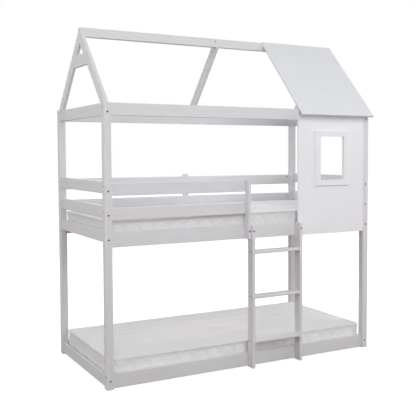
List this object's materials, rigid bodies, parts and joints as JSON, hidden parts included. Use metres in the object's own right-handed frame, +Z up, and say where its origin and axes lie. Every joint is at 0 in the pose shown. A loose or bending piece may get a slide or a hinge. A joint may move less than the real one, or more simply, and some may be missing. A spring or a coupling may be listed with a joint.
{
  "type": "bunk bed",
  "caption": "White wooden bunk bed for children with a house-shaped roof frame, a ladder, guard boards, and a wall panel with a window under a panel of roof.",
  "frame": {"origin": "on the floor, under the middle of the whole outline with the ladder and the roof's eave", "axes": "+X along the bed to the end with the wall panel, +Y from the ladder side to the rear side, +Z up"},
  "size_m": [1.975, 1.0225, 2.2127],
  "materials": {
    "painted_pine": "satin white paint on planed pine",
    "panel_white": "satin white painted board",
    "bare_pine": "planed, pale",
    "ticking": "quilted knit cover",
    "hardware": "dark zinc"
  },
  "bodies": {
    "bed": {"cross_nuts": "hardware", "end_board_bolts": "hardware", "end_guard_lower_left": "painted_pine", "end_guard_lower_right": "painted_pine", "end_guard_upper_left": "painted_pine", "end_guard_upper_right": "painted_pine", "end_rail_lower_left": "painted_pine", "end_rail_lower_right": "painted_pine", "end_rail_upper_left": "painted_pine", "end_rail_upper_right": "painted_pine", "end_top_rail_left": "painted_pine", "end_top_rail_right": "painted_pine", "gable_collar_left": "painted_pine", "gable_collar_right": "painted_pine", "gable_rafter_front_left": "painted_pine", "gable_rafter_front_right": "painted_pine", "gable_rafter_rear_left": "painted_pine", "gable_rafter_rear_right": "painted_pine", "guard_post": "painted_pine", "ladder_bolts": "hardware", "ladder_rung_lower": "painted_pine", "ladder_rung_middle": "painted_pine", "ladder_rung_upper": "painted_pine", "ladder_stile_left": "painted_pine", "ladder_stile_right": "painted_pine", "ledger_lower_front": "bare_pine", "ledger_lower_rear": "bare_pine", "ledger_upper_front": "bare_pine", "ledger_upper_rear": "bare_pine", "middle_rafter": "painted_pine", "post_front_left": "painted_pine", "post_front_right": "painted_pine", "post_rear_left": "painted_pine", "post_rear_right": "painted_pine", "rear_batten": "painted_pine", "ridge_beam": "painted_pine", "roof_panel": "panel_white", "side_board_bolts": "hardware", "side_guard_lower_front": "painted_pine", "side_guard_lower_rear": "painted_pine", "side_guard_upper_front": "painted_pine", "side_guard_upper_rear": "painted_pine", "side_rail_lower_front": "painted_pine", "side_rail_lower_rear": "painted_pine", "side_rail_upper_front": "painted_pine", "side_rail_upper_rear": "painted_pine", "side_top_rail_front": "painted_pine", "side_top_rail_rear": "painted_pine", "slats_lower": "bare_pine", "slats_upper": "bare_pine", "wall_panel": "panel_white", "window_trim_bottom": "painted_pine", "window_trim_left": "painted_pine", "window_trim_right": "painted_pine", "window_trim_top": "painted_pine"},
    "mattress_lower": {"mattress_lower": "ticking"},
    "mattress_upper": {"mattress_upper": "ticking"}
  },
  "joints": [
    {"name": "lift_lower_mattress", "type": "slide", "parent": "bed", "child": "mattress_lower", "axis": [0, 0, 1], "range_m": [0, 0.1]},
    {"name": "lift_upper_mattress", "type": "slide", "parent": "bed", "child": "mattress_upper", "axis": [0, 0, 1], "range_m": [0, 0.36]}
  ]
}
